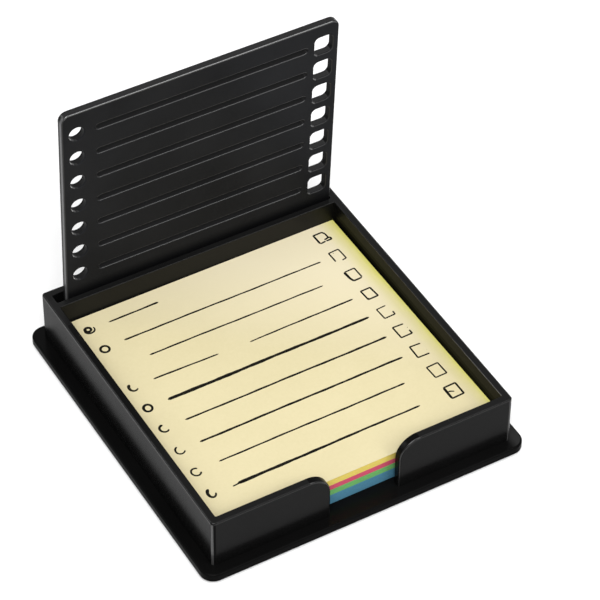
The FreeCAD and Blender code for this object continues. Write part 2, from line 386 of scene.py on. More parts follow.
# ---------------------------------------------------------------------------------------------------------------
# stencil plate
# ---------------------------------------------------------------------------------------------------------------
def make_plate():
    edge_r, hole_r, seg, n_corner = 0.40, 0.30, 6, 10
    verts, normals, faces = [], [], []
    front_loops, back_loops, kinds = [], [], {}
    cuts = 4                                            # strips across the thickness

    def lit_or_shaded_of(k, dx, dz, hole):
        """Which lit or shaded copy of the plastic a face in ring k gets, where it looks along (dx, dz) from the middle
        of the outline: painted highlights on some edges and hole lips, painted shade deep in the bores, on the back
        edges and on the dimmer sides.
        """
        if hole is None:
            if dz > 0.7:
                return "top_line" if 1 <= k < seg - 2 else "dull" if k > seg + cuts else "top"
            if dx < -0.5:
                return "side" if k < 3 or k == seg + 1 else "side_lit" if k <= seg else "side_dull"
            return "side_dull"
        toward = math.degrees(math.atan2(dz, dx)) % 360
        if hole == "slot":
            if k >= seg:
                return "bore"
            if abs(dz) < 0.6:
                return "face"
            return ("lip_worn" if 2 <= k < 5 else "face") if dz < 0 else ("lip_faint" if k < 2 else "deep")
        if hole == "round" and 3 <= k <= seg and 176 < toward < 272:
            return "spot" if toward < 218 else "lip_bright" if toward < 245 else "lip_soft"
        if k >= seg:
            if dx > 0.7 and (hole == "square" or k >= seg + 3):
                return "deep"
            return "bore_lit" if hole == "square" and dz < -0.3 else "bore"
        if hole == "round":
            return "face"
        if 200 < toward < 246:
            return "lip_bright"
        return "lip_soft" if (dz < -0.6 or dx > 0.8) and 1 <= k < 4 else "face"

    def loft(loop_at, radius, hole=None):
        """Rings from the front face, round the edge, through the thickness, to the back face."""
        rings = []
        for k in range(seg + 1):
            a = math.pi / 2 * k / seg
            rings.append((radius * (1 - math.sin(a)), radius * (1 - math.cos(a)), math.sin(a), -math.cos(a)))
        for k in range(1, cuts):
            rings.append((0.0, radius + (PLATE_T - 2 * radius) * k / cuts, 1.0, 0.0))
        for k in range(seg + 1):
            a = math.pi / 2 * (1 - k / seg)
            rings.append((radius * (1 - math.sin(a)), PLATE_T - radius * (1 - math.cos(a)), math.sin(a), math.cos(a)))
        start = len(verts)
        count = None
        for inset, y, side, ny in rings:
            pts, dirs = loop_at(-inset if hole is None else inset)
            count = len(pts)
            for (x, z), (dx, dz) in zip(pts, dirs):
                s = -side if hole is not None else side
                verts.append((x, y, z))
                normals.append((dx * s, ny, dz * s))
        for k in range(len(rings) - 1):
            for i in range(count):
                j = (i + 1) % count
                quad = (start + k * count + i, start + k * count + j, start + (k + 1) * count + j, start + (k + 1) * count + i)
                mx, mz = dirs[i][0] + dirs[j][0], dirs[i][1] + dirs[j][1]
                length = math.hypot(mx, mz) or 1.0
                kinds[len(faces)] = lit_or_shaded_of(k, mx / length, mz / length, hole)
                faces.append(quad)
        front_loops.append(list(range(start, start + count)))
        back_loops.append(list(range(start + (len(rings) - 1) * count, start + len(rings) * count)))

    def shape(cx, cz, hw, hh, r, n, along=0):
        def loop_at(grow):
            pts = rounded_rect(cx, cz, hw + grow, hh + grow, r + grow, n, along)
            dirs = []
            for x, z in pts:
                qx = max(abs(x - cx) - (hw - r), 0.0) * (1 if x > cx else -1)
                qz = max(abs(z - cz) - (hh - r), 0.0) * (1 if z > cz else -1)
                length = math.hypot(qx, qz) or 1.0
                dirs.append((qx / length, qz / length))
            return pts, dirs
        return loop_at

    loft(shape(PLATE_W / 2, PLATE_H / 2, PLATE_W / 2, PLATE_H / 2, PLATE_CORNER_R, n_corner, 6), edge_r)
    tests = []
    for i in range(ROWS):
        z = PLATE_H - ROW_TOP - i * ROW_PITCH
        for hole, cx, hw, hh, r, n, along in (
                ("round", ROUND_X, ROUND_R, ROUND_R, ROUND_R - 1e-4, 14, 0),
                ("square", SQUARE_X, SQUARE_W / 2, SQUARE_H / 2, SQUARE_R, 8, 2),
                ("slot", (SLOT_X0 + SLOT_X1) / 2, (SLOT_X1 - SLOT_X0) / 2, SLOT_H / 2, SLOT_H / 2 - 1e-4, 8, 3)):
            loft(shape(cx, z, hw, hh, r, n, along), hole_r, hole)
            tests.append((cx, z, hw + hole_r, hh + hole_r, r + hole_r))

    def inside(x, z, t):
        cx, cz, hw, hh, r = t
        qx, qz = max(abs(x - cx) - (hw - r), 0.0), max(abs(z - cz) - (hh - r), 0.0)
        return abs(x - cx) < hw and abs(z - cz) < hh and math.hypot(qx, qz) < r

    for loops, want_front in ((front_loops, True), (back_loops, False)):
        index = [v for loop in loops for v in loop]
        coords = [Vector((verts[v][0], verts[v][2])) for v in index]
        edges, base = [], 0
        for loop in loops:
            edges += [(base + i, base + (i + 1) % len(loop)) for i in range(len(loop))]
            base += len(loop)
        out_v, _, out_f, orig_v, _, _ = delaunay_2d_cdt(coords, edges, [], 0, 1e-7)
        for tri in out_f:
            cx = sum(out_v[k].x for k in tri) / 3
            cz = sum(out_v[k].y for k in tri) / 3
            if any(inside(cx, cz, t) for t in tests):
                continue
            if not inside(cx, cz, (PLATE_W / 2, PLATE_H / 2, PLATE_W / 2 - edge_r, PLATE_H / 2 - edge_r,
                                   PLATE_CORNER_R - edge_r)):
                continue
            ids = [index[orig_v[k][0]] for k in tri]
            a, b, c = (Vector(verts[k]) for k in ids)
            up = (b - a).cross(c - a).y
            if (up > 0) == want_front:
                ids.reverse()
            faces.append(tuple(ids))

    # stand it in the pocket, leaning forward
    cl, sl = math.cos(PLATE_LEAN), math.sin(PLATE_LEAN)
    ty = PART_FRONT_Y + PART_T + PLATE_CLEAR + PLATE_BELOW * sl
    tz = Z_RIM - PLATE_BELOW * cl
    placed = [(PLATE_LEFT_X + x, ty + y * cl - z * sl, tz + y * sl + z * cl) for x, y, z in verts]
    turned = [(nx, ny * cl - nz * sl, ny * sl + nz * cl) for nx, ny, nz in normals]
    mesh = bpy.data.meshes.new("stencil_plate_body")
    mesh.from_pydata([tuple(c * MM for c in v) for v in placed], [], faces)
    bm = bmesh.new()
    bm.from_mesh(mesh)
    bmesh.ops.recalc_face_normals(bm, faces=bm.faces)
    print("stencil plate faces", len(bm.faces), "open edges", sum(1 for e in bm.edges if len(e.link_faces) != 2))
    bm.to_mesh(mesh)
    bm.free()
    for p in mesh.polygons:
        p.use_smooth = True
    mesh.normals_split_custom_set_from_vertices([Vector(v).normalized() for v in turned])
    o = bpy.data.objects.new("stencil_plate_body", mesh)
    SCENE.collection.objects.link(o)
    return o, kinds


# ---------------------------------------------------------------------------------------------------------------
# paper
# ---------------------------------------------------------------------------------------------------------------
def on_pad(x, y):
    """The stack is turned by a hair about its middle."""
    c, s = math.cos(NOTE_TURN), math.sin(NOTE_TURN)
    return x * c - (y - NOTE_MID_Y) * s, NOTE_MID_Y + x * s + (y - NOTE_MID_Y) * c


def make_block(name, z0, thickness, seed, sheet_t=0.1):
    """A block of loose sheets glued at the back: each one is its own thin slab, not quite in line with the next."""
    rng = random.Random(seed)
    count = max(1, round(thickness / sheet_t))
    pitch = thickness / count
    verts, faces = [], []
    dx = dy = 0.0
    for k in range(count):
        dx = 0.7 * dx + rng.uniform(-0.035, 0.035)
        dy = 0.7 * dy + rng.uniform(-0.03, 0.03)
        turn = rng.uniform(-0.0004, 0.0004)
        z, t = z0 + k * pitch, pitch * 0.94
        b = len(verts)
        for zz in (z, z + t):
            for sx, sy in ((-1, 0), (1, 0), (1, 1), (-1, 1)):
                x = sx * (NOTE_W / 2 - 0.08)
                y = NOTE_BACK_Y - (1 - sy) * NOTE_W
                xr = x - turn * (y - NOTE_BACK_Y) + dx
                yr = y + turn * x + (dy if sy == 0 else 0.2 * dy)
                verts.append((*on_pad(xr, yr), zz))
        faces += [(b + 3, b + 2, b + 1, b), (b + 4, b + 5, b + 6, b + 7), (b, b + 1, b + 5, b + 4),
                  (b + 1, b + 2, b + 6, b + 5), (b + 2, b + 3, b + 7, b + 6), (b + 3, b, b + 4, b + 7)]
    return new_object(name, verts, faces, smooth=False)


TOP_Z0 = Z_FLOOR + FLOOR_GAP + 3.02 + 1.75 + 1.56 + 1.73
TOP_Z = TOP_Z0 + TOP_NOTE_T


# heights of the painted shade on the right wall's inner face
INNER_LEVELS = (TOP_Z + 1.5, TOP_Z + 2.6)


def paper_lift(x, y):
    """Height of the top note above flat: a hand-handled sheet is never quite flat. Zero along the glued edge."""
    u = x / (NOTE_W / 2)
    v = (NOTE_BACK_Y - y) / NOTE_W                      # 0 at the back, 1 at the front
    v = min(max(v, 0.0), 1.0)
    wave = 0.05 * (1 - math.cos(2.3 * math.pi * (0.32 * u + 0.5))) * v
    corner = 0.22 * v ** 3 * max(0.0, u) ** 4 + 0.12 * v ** 3 * max(0.0, -u) ** 6
    return wave * v + corner


def make_top_note():
    n = 64
    verts, faces = [], []
    for side in (0, 1):
        for j in range(n + 1):
            for i in range(n + 1):
                x = -NOTE_W / 2 + NOTE_W * i / n
                y = NOTE_BACK_Y - NOTE_W + NOTE_W * j / n
                verts.append((*on_pad(x, y), TOP_Z0 + 0.012 + paper_lift(x, y) + side * (TOP_NOTE_T - 0.012)))
    m = (n + 1) ** 2

    def idx(i, j, side):
        return side * m + j * (n + 1) + i
    for j in range(n):
        for i in range(n):
            faces.append((idx(i, j, 1), idx(i + 1, j, 1), idx(i + 1, j + 1, 1), idx(i, j + 1, 1)))
            faces.append((idx(i, j, 0), idx(i, j + 1, 0), idx(i + 1, j + 1, 0), idx(i + 1, j, 0)))
    for i in range(n):
        faces.append((idx(i, 0, 0), idx(i + 1, 0, 0), idx(i + 1, 0, 1), idx(i, 0, 1)))
        faces.append((idx(i + 1, n, 0), idx(i, n, 0), idx(i, n, 1), idx(i + 1, n, 1)))
        faces.append((idx(0, i + 1, 0), idx(0, i, 0), idx(0, i, 1), idx(0, i + 1, 1)))
        faces.append((idx(n, i, 0), idx(n, i + 1, 0), idx(n, i + 1, 1), idx(n, i, 1)))
    o = new_object("top_note_sheet", verts, faces)
    bm = bmesh.new()
    bm.from_mesh(o.data)
    for e in bm.edges:
        e.smooth = not (len(e.link_faces) == 2 and e.calc_face_angle(0.0) > math.radians(50))
    bm.to_mesh(o.data)
    bm.free()
    return o


# pen strokes on the top note, in millimetres: (points, width, closed). Rows are ruled from the back to the front.
STROKES = []


def ruled(x0, y0, x1, y1, w0, w1=None, sag=0.0):
    STROKES.append(("line", x0, y0, x1, y1, w0, w1 if w1 is not None else w0, sag))


def arc_mark(cx, cy, r, a0, a1, w0, w1, squash=1.0):
    STROKES.append(("arc", cx, cy, r, a0, a1, w0, w1, squash))


def path_mark(points, w0, w1, closed=False):
    STROKES.append(("path", points, w0, w1, closed))


ruled(-27.6, 32.0, -13.9, 32.2, 0.40, 0.46)
ruled(-27.2, 24.7, 27.7, 24.8, 0.44, 0.36)
ruled(-24.2, 17.2, 23.9, 17.2, 0.42, 0.36)
ruled(-27.2, 9.55, -9.7, 9.3, 0.46, 0.34)
ruled(-1.2, 9.1, 27.9, 9.55, 0.34, 0.44)
ruled(-27.4, 1.85, 28.1, 2.15, 0.86, 0.60)
ruled(-27.0, -6.0, 28.3, -5.8, 0.42, 0.52)
ruled(-27.4, -13.9, 28.1, -13.6, 0.52, 0.50)
ruled(-26.5, -21.5, 24.0, -21.3, 0.40, 0.44)
ruled(-26.1, -29.75, 23.3, -29.35, 0.78, 0.40)
path_mark([(-27.75, -30.05), (-24.2, -29.75)], 0.30, 0.40)

# round marks
arc_mark(-33.35, 32.0, 0.72, 20, 380, 0.62, 0.50)
arc_mark(-33.0, 31.75, 1.18, 165, 385, 0.60, 0.26)
arc_mark(-32.8, 24.1, 1.03, 0, 360, 0.52, 0.48, 1.12)
arc_mark(-32.75, 9.50, 1.10, 118, 318, 0.70, 0.30, 1.22)
arc_mark(-33.0, 1.65, 1.08, 0, 360, 0.56, 0.46)
arc_mark(-32.8, -6.1, 1.03, 78, 325, 0.54, 0.36, 1.16)
arc_mark(-32.8, -14.0, 1.20, 100, 328, 0.42, 0.30)
arc_mark(-32.9, -21.95, 1.08, 42, 342, 0.38, 0.36, 1.14)
arc_mark(-32.9, -29.45, 0.95, 95, 345, 0.72, 0.34, 1.42)

# square marks
path_mark([(30.9, 30.6), (30.8, 34.05), (33.3, 34.1), (33.75, 33.2), (33.8, 31.5)], 0.46, 0.34)
path_mark([(30.9, 30.6), (32.6, 30.85)], 0.34, 0.44)
path_mark([(32.4, 31.35), (34.0, 31.75), (34.35, 31.35), (34.2, 30.85), (32.6, 30.8)], 0.40, 0.40)
path_mark([(31.0, 23.1), (30.9, 26.6), (33.75, 26.8), (33.95, 23.1), (32.6, 22.85)], 0.34, 0.30)
path_mark([(31.8, 26.0), (32.1, 26.2)], 0.24, 0.20)
path_mark([(30.85, 18.8), (33.75, 18.95), (33.85, 15.25)], 0.34, 0.34)
path_mark([(30.8, 18.9), (31.0, 16.2), (31.4, 15.1), (32.3, 15.1), (33.8, 15.2)], 0.62, 0.38)
path_mark([(33.2, 17.7), (33.3, 17.6)], 0.34, 0.30)
path_mark([(30.9, 11.0), (33.6, 11.1), (33.9, 7.7), (31.1, 7.6)], 0.38, 0.38, True)
path_mark([(31.1, 8.2), (31.6, 7.7)], 0.30, 0.26)
path_mark([(33.7, 3.8), (31.0, 3.6), (31.2, -0.05), (34.15, 0.1), (34.2, 1.35)], 0.28, 0.34)
path_mark([(34.2, -3.8), (31.15, -3.7), (31.25, -7.7), (34.35, -7.6), (34.3, -6.2)], 0.34, 0.36)
path_mark([(34.35, -5.5), (34.35, -5.2)], 0.26, 0.22)
path_mark([(34.3, -11.55), (31.3, -11.4), (31.2, -15.45), (34.5, -15.5)], 0.34, 0.36)
path_mark([(34.45, -14.3), (34.5, -14.15)], 0.30, 0.26)
path_mark([(31.2, -19.35), (34.35, -19.2), (34.5, -23.2), (31.35, -23.25)], 0.34, 0.32, True)
path_mark([(31.2, -27.1), (34.45, -27.0), (34.45, -30.95), (31.15, -31.1)], 0.40, 0.40, True)
path_mark([(31.15, -27.1), (31.1, -31.1)], 0.56, 0.50)
path_mark([(31.4, -28.7), (32.1, -28.9), (32.9, -29.4)], 0.40, 0.26)


def stroke_points(s, rng):
    """Dense points and widths of one stroke, with the small unsteadiness of a hand."""
    pts, widths = [], []
    if s[0] == "line":
        _, x0, y0, x1, y1, w0, w1, sag = s
        n = max(12, int(math.hypot(x1 - x0, y1 - y0) / 0.5))
        ph = [rng.uniform(0, 6.28) for _ in range(4)]
        for i in range(n + 1):
            t = i / n
            x, y = x0 + (x1 - x0) * t, y0 + (y1 - y0) * t
            y += 0.035 * math.sin(0.22 * x + ph[0]) + 0.018 * math.sin(0.9 * x + ph[1])
            w = w0 + (w1 - w0) * t
            w *= 1 + 0.09 * math.sin(0.7 * x + ph[2]) + 0.05 * math.sin(2.7 * x + ph[3])
            pts.append((x, y))
            widths.append(w)
        closed = False
    elif s[0] == "arc":
        _, cx, cy, r, a0, a1, w0, w1, squash = s
        closed = abs(a1 - a0) >= 359.9
        n = max(16, int(abs(a1 - a0) / 8))
        ph = rng.uniform(0, 6.28)
        for i in range(n + (0 if closed else 1)):
            t = i / n
            a = math.radians(a0 + (a1 - a0) * t)
            rr = r * (1 + 0.05 * math.sin(2 * a + ph))
            pts.append((cx + rr * math.cos(a), cy + squash * rr * math.sin(a)))
            if closed:
                w = (w0 + w1) / 2 + (w0 - w1) / 2 * math.cos(a - 2.4)
            else:
                w = w0 + (w1 - w0) * t
            widths.append(w)
    else:
        _, points, w0, w1, closed = s
        ring = list(points) + ([points[0]] if closed else [])
        lengths = [math.dist(a, b) for a, b in zip(ring, ring[1:])]
        total = sum(lengths)
        step = 0.16
        n = max(4, int(total / step))
        corner = 0.22
        for i in range(n + (0 if closed else 1)):
            d = total * i / n

            def at(dd):
                dd = dd % total if closed else min(max(dd, 0.0), total)
                for (a, b), length in zip(zip(ring, ring[1:]), lengths):
                    if dd <= length or length == lengths[-1] and (a, b) == (ring[-2], ring[-1]):
                        f = min(dd / max(length, 1e-9), 1.0)
                        return a[0] + (b[0] - a[0]) * f, a[1] + (b[1] - a[1]) * f
                    dd -= length
                return ring[-1]
            p = [at(d + o) for o in (-corner, -corner / 2, 0, corner / 2, corner)]
            x = (p[0][0] + 2 * p[1][0] + 2 * p[2][0] + 2 * p[3][0] + p[4][0]) / 8
            y = (p[0][1] + 2 * p[1][1] + 2 * p[2][1] + 2 * p[3][1] + p[4][1]) / 8
            pts.append((x, y))
            widths.append(w0 + (w1 - w0) * i / n)
    return pts, widths, closed


def make_ink():
    """Every stroke is a very thin closed ribbon that follows the paper."""
    rng = random.Random(11)
    verts, faces = [], []
    lift, sink = 0.016, 0.010
    for s in STROKES:
        pts, widths, closed = stroke_points(s, rng)
        swell = 1.20 if s[0] == "line" else 1.28
        n = len(pts)
        total = 0.0
        run = [0.0]
        for a, b in zip(pts, pts[1:]):
            total += math.dist(a, b)
            run.append(total)
        rows = []
        for i, (x, y) in enumerate(pts):
            drift = (x + 27.0) / 55.0
            shift = (0.17 - 0.17 * drift, 0.085 - 0.195 * drift) if s[0] == "line" else (0.0, 0.0)
            if closed:
                ax, ay = pts[(i - 1) % n]
                bx, by = pts[(i + 1) % n]
            else:
                ax, ay = pts[max(i - 1, 0)]
                bx, by = pts[min(i + 1, n - 1)]
            tx, ty = bx - ax, by - ay
            length = math.hypot(tx, ty) or 1.0
            nx, ny = -ty / length, tx / length
            w = widths[i] / 2 * swell
            if not closed:                              # round the ends off
                end = min(run[i], total - run[i])
                w *= math.sqrt(max(0.06, min(1.0, end / (widths[i] * 0.8) + 0.06)))
            ring = []
            for off, up in ((-w, -sink), (-w, lift * 0.35), (-w * 0.6, lift), (w * 0.6, lift), (w, lift * 0.35),
                            (w, -sink)):
                px, py = x + nx * off - 0.22 - shift[0], y + ny * off - 0.38 - shift[1]
                ring.append(len(verts))
                verts.append((px, py, TOP_Z + paper_lift(px, py) + up))
            rows.append(ring)
        k = len(rows[0])
        pairs = list(zip(rows, rows[1:])) + ([(rows[-1], rows[0])] if closed else [])
        for a, b in pairs:
            for i in range(k):
                j = (i + 1) % k
                faces.append((a[i], b[i], b[j], a[j]))
        if not closed:
            faces.append(tuple(rows[0]))
            faces.append(tuple(reversed(rows[-1])))
    o = new_object("pen_marks", verts, faces)
    bm = bmesh.new()
    bm.from_mesh(o.data)
    bmesh.ops.recalc_face_normals(bm, faces=bm.faces)
    bm.to_mesh(o.data)
    bm.free()
    return o


# ---------------------------------------------------------------------------------------------------------------
# materials
# ---------------------------------------------------------------------------------------------------------------
class Nodes:
    def __init__(self, name):
        self.mat = bpy.data.materials.new(name)
        self.mat.use_nodes = True
        self.tree = self.mat.node_tree
        self.tree.nodes.clear()
        self.out = self.tree.nodes.new("ShaderNodeOutputMaterial")
        self.bsdf = self.tree.nodes.new("ShaderNodeBsdfPrincipled")
        self.tree.links.new(self.bsdf.outputs[0], self.out.inputs[0])
        self.geo = self.tree.nodes.new("ShaderNodeTexCoord")

    def link(self, a, b):
        self.tree.links.new(a, b)

    def noise(self, scale, detail=3.0, rough=0.55, stretch=None, seed=0.0):
        tex = self.tree.nodes.new("ShaderNodeTexNoise")
        tex.inputs["Scale"].default_value = scale
        tex.inputs["Detail"].default_value = detail
        tex.inputs["Roughness"].default_value = rough
        mp = self.tree.nodes.new("ShaderNodeMapping")
        mp.inputs["Location"].default_value = (seed, seed * 0.7, seed * 1.3)
        if stretch:
            mp.inputs["Scale"].default_value = stretch
        self.link(self.geo.outputs["Object"], mp.inputs["Vector"])
        self.link(mp.outputs["Vector"], tex.inputs["Vector"])
        return tex.outputs["Fac"]

    def remap(self, value, lo, hi, a=0.3, b=0.7):
        m = self.tree.nodes.new("ShaderNodeMapRange")
        m.inputs["From Min"].default_value = a
        m.inputs["From Max"].default_value = b
        m.inputs["To Min"].default_value = lo
        m.inputs["To Max"].default_value = hi
        self.link(value, m.inputs["Value"])
        return m.outputs["Result"]

    def ramp(self, value, stops):
        r = self.tree.nodes.new("ShaderNodeValToRGB")
        while len(r.color_ramp.elements) < len(stops):
            r.color_ramp.elements.new(0.5)
        for e, (pos, col) in zip(r.color_ramp.elements, stops):
            e.position = pos
            e.color = (*col, 1.0)
        self.link(value, r.inputs["Fac"])
        return r.outputs["Color"]

    def bump(self, height, strength, distance, normal=None):
        b = self.tree.nodes.new("ShaderNodeBump")
        b.inputs["Strength"].default_value = strength
        b.inputs["Distance"].default_value = distance
        self.link(height, b.inputs["Height"])
        if normal is not None:
            self.link(normal, b.inputs["Normal"])
        return b.outputs["Normal"]

    def math(self, op, a, b=None, clamp=False):
        m = self.tree.nodes.new("ShaderNodeMath")
        m.operation = op
        m.use_clamp = clamp
        for i, v in enumerate((a, b)):
            if v is None:
                continue
            if isinstance(v, (int, float)):
                m.inputs[i].default_value = v
            else:
                self.link(v, m.inputs[i])
        return m.outputs[0]

    def mix(self, fac, a, b):
        m = self.tree.nodes.new("ShaderNodeMix")
        m.data_type = "RGBA"
        for sock, v in ((m.inputs[0], fac), (m.inputs[6], a), (m.inputs[7], b)):
            if isinstance(v, (int, float)):
                sock.default_value = v
            elif isinstance(v, tuple):
                sock.default_value = (*v, 1.0)
            else:
                self.link(v, sock)
        return m.outputs[2]

    def position(self, axis):
        s = self.tree.nodes.new("ShaderNodeSeparateXYZ")
        self.link(self.geo.outputs["Object"], s.inputs[0])
        return s.outputs[axis]


def black_plastic(name, base, rough, ior, grain, seed, foot=None, right=None):
    """Moulded black plastic: a fine spark-eroded grain, slow flow variation in tone and gloss, and faint rub marks.
    rough: (lowest, highest). ior: set per copy, low where shade is painted, high on edges and lines where highlights
    are painted.
    foot: (z0, z1, depth) painted shade: darkens the plastic below z1, fully from z0 down. right: (x0, x1, tone),
    painted reflection: paler there."""
    n = Nodes(name)
    fine = n.noise(5200.0, 2.0, 0.5, seed=seed)
    medium = n.noise(900.0, 3.0, 0.6, seed=seed + 3)
    slow = n.noise(38.0, 4.0, 0.55, seed=seed + 7)
    rub = n.noise(160.0, 5.0, 0.7, stretch=(1.0, 9.0, 1.0), seed=seed + 11)
    level = n.math("ADD", n.math("MULTIPLY", slow, 0.65), n.math("MULTIPLY", rub, 0.35))
    n.link(n.remap(level, rough[0], rough[1], 0.35, 0.65), n.bsdf.inputs["Roughness"])
    col = n.ramp(slow, [(0.30, tuple(c * 0.80 for c in base)), (0.70, tuple(c * 1.20 for c in base))])
    if foot is not None:
        # painted shade: the plastic darkens towards the bottom, below z1
        t = n.math("POWER", n.remap(n.position(2), foot[2], 0.0, foot[0], foot[1]), 1.0, clamp=True)
        col = n.mix(t, col, tuple(c * 0.06 for c in base))
    if right is not None:
        # painted reflection: a paler tone between x0 and x1
        col = n.mix(n.remap(n.position(0), 0.0, 1.0, right[0], right[1]), col, (right[2], right[2], right[2]))
    n.link(col, n.bsdf.inputs["Base Color"])
    height = n.math("ADD", n.math("MULTIPLY", fine, 0.6), n.math("MULTIPLY", medium, 0.4))
    n.link(n.bump(height, grain, 0.00002), n.bsdf.inputs["Normal"])
    n.bsdf.inputs["IOR"].default_value = ior
    return n.mat


def paper(name, colour, dark, seed, edge=None, back_corner_light=None):
    """Uncoated note paper: pulp mottling, short fibres and a soft tooth."""
    n = Nodes(name)
    cloud = n.noise(55.0, 4.0, 0.6, seed=seed)
    pulp = n.noise(1500.0, 3.0, 0.6, seed=seed + 2)
    fibre = n.noise(2600.0, 2.0, 0.5, stretch=(0.25, 1.0, 1.0), seed=seed + 5)
    fibre2 = n.noise(2600.0, 2.0, 0.5, stretch=(1.0, 0.22, 1.0), seed=seed + 6)
    mottling = n.math("ADD", n.math("MULTIPLY", cloud, 0.55), n.math("MULTIPLY", pulp, 0.45))
    col = n.ramp(mottling, [(0.36, dark), (0.62, colour)])
    if back_corner_light is not None:
        # painted light: the sheet is a little paler towards its back right-hand corner, lifting the shade the plate
        # casts there
        s = n.math("ADD", n.math("MULTIPLY", n.position(0), 0.45 / 0.038), n.math("MULTIPLY", n.position(1), 0.55 / 0.038))
        col = n.mix(n.math("MULTIPLY", n.remap(s, 0.0, 1.0, 0.08, 0.62), back_corner_light[1]), col, back_corner_light[0])
    for start, end, slope, tint, power, strength in edge or ():
        # the sheet turns more yellow towards its right-hand edge, over a wider band at the back
        x = n.math("ADD", n.position(0), n.math("MULTIPLY", n.position(1), math.sin(NOTE_TURN) + slope))
        wob = n.math("MULTIPLY", n.math("SUBTRACT", cloud, 0.5), (end - start) * 0.8)
        t = n.remap(n.math("ADD", x, wob), 0.0, 1.0, start, end)
        t = n.math("POWER", t, power, clamp=True)
        col = n.mix(n.math("MULTIPLY", t, strength), col, tint)
    n.link(col, n.bsdf.inputs["Base Color"])
    n.link(n.remap(pulp, 0.78, 0.92), n.bsdf.inputs["Roughness"])
    tooth = n.math("ADD", n.math("ADD", n.math("MULTIPLY", fibre, 0.5), n.math("MULTIPLY", fibre2, 0.5)),
                   n.math("MULTIPLY", pulp, 0.5))
    n.link(n.bump(tooth, 0.35, 0.00003), n.bsdf.inputs["Normal"])
    n.bsdf.inputs["IOR"].default_value = 1.45
    n.bsdf.inputs["Specular IOR Level"].default_value = 0.22
    return n.mat


def ink():
    """Black gel pen line: darker where the ink pooled, a little worn where the pen skipped."""
    n = Nodes("black_pen_ink")
    skip = n.noise(900.0, 3.0, 0.6, seed=2.0)
    slow = n.noise(120.0, 2.0, 0.5, seed=9.0)
    level = n.math("ADD", n.math("MULTIPLY", skip, 0.5), n.math("MULTIPLY", slow, 0.5))
    n.link(n.ramp(level, [(0.38, (0.0022, 0.0018, 0.0010)), (0.62, (0.0080, 0.0066, 0.0034))]), n.bsdf.inputs["Base Color"])
    n.link(n.remap(skip, 0.60, 0.80), n.bsdf.inputs["Roughness"])
    n.bsdf.inputs["IOR"].default_value = 1.25
    n.link(n.bump(skip, 0.2, 0.00001), n.bsdf.inputs["Normal"])
    return n.mat


def rubber():
    n = Nodes("foot_rubber")
    fine = n.noise(3000.0, 3.0, 0.6, seed=4.0)
    slow = n.noise(300.0, 3.0, 0.6, seed=8.0)
    n.link(n.ramp(slow, [(0.35, (0.016, 0.016, 0.017)), (0.65, (0.028, 0.028, 0.029))]), n.bsdf.inputs["Base Color"])
    n.link(n.remap(slow, 0.72, 0.88), n.bsdf.inputs["Roughness"])
    n.link(n.bump(fine, 0.5, 0.00004), n.bsdf.inputs["Normal"])
    return n.mat


def floor_material():
    n = Nodes("studio_floor")
    slow = n.noise(6.0, 3.0, 0.5, seed=1.0)
    n.link(n.ramp(slow, [(0.3, (0.93, 0.93, 0.93)), (0.7, (0.95, 0.95, 0.95))]), n.bsdf.inputs["Base Color"])
    n.bsdf.inputs["Roughness"].default_value = 0.9
    n.bsdf.inputs["Specular IOR Level"].default_value = 0.1
    return n.mat


def give(o, mat):
    o.data.materials.clear()
    o.data.materials.append(mat)
    return o


def give_by_face(o, finishes, choose):
    """One moulding with several materials, here lit and shaded copies of one plastic. finishes: name to material;
    choose gives the name for each face.
    """
    o.data.materials.clear()
    names = list(finishes)
    for name in names:
        o.data.materials.append(finishes[name])
    for face in o.data.polygons:
        face.material_index = names.index(choose(face))
    return o


# ---------------------------------------------------------------------------------------------------------------
# build the pieces
# ---------------------------------------------------------------------------------------------------------------
# Lit and shaded copies of one black plastic: base colour and IOR differ per entry, painting highlights along the rims,
# rolled edges, lit corners, notch posts and partition lines, and painting shade on the dark corners, the base rim and
# the foot of the right wall's inner face. The broad faces also get a painted reflection towards the right-hand flange.
TRAY_LIT_AND_SHADED = {name: black_plastic("tray_" + name, (base, base, base), (0.38, 0.46) if name in ("inner", "inner_foot", "inner_mid", "partition")
                                   else (0.18, 0.26), ior, 0.10, 1.0, right=(0.0392, 0.0412, 0.021) if name == "broad" else None)
               for name, base, ior in (
    ("broad", 0.0030, 1.165), ("side", 0.0030, 1.105), ("front", 0.0030, 1.145), ("inner", 0.0030, 1.140),
    ("partition", 0.0030, 1.26), ("partition_top", 0.0075, 1.26), ("rim", 0.0045, 1.30), ("roll", 0.0030, 1.50),
    ("roll_front", 0.0060, 1.36), ("edge", 0.0030, 1.14), ("corner", 0.0030, 1.075), ("corner_lit", 0.0350, 1.42),
    ("base_rim", 0.0030, 1.065), ("base_edge", 0.0030, 1.11),
    ("post", 0.0030, 1.13), ("post_edge", 0.0060, 1.42), ("partition_line", 0.0070, 1.25),
    ("rim_right", 0.0060, 1.36), ("rim_back", 0.0030, 1.19), ("roll_inner", 0.0070, 1.66),
    ("corner_line", 0.0300, 1.20), ("inner_foot", 0.0030, 1.050), ("inner_mid", 0.0030, 1.095))}


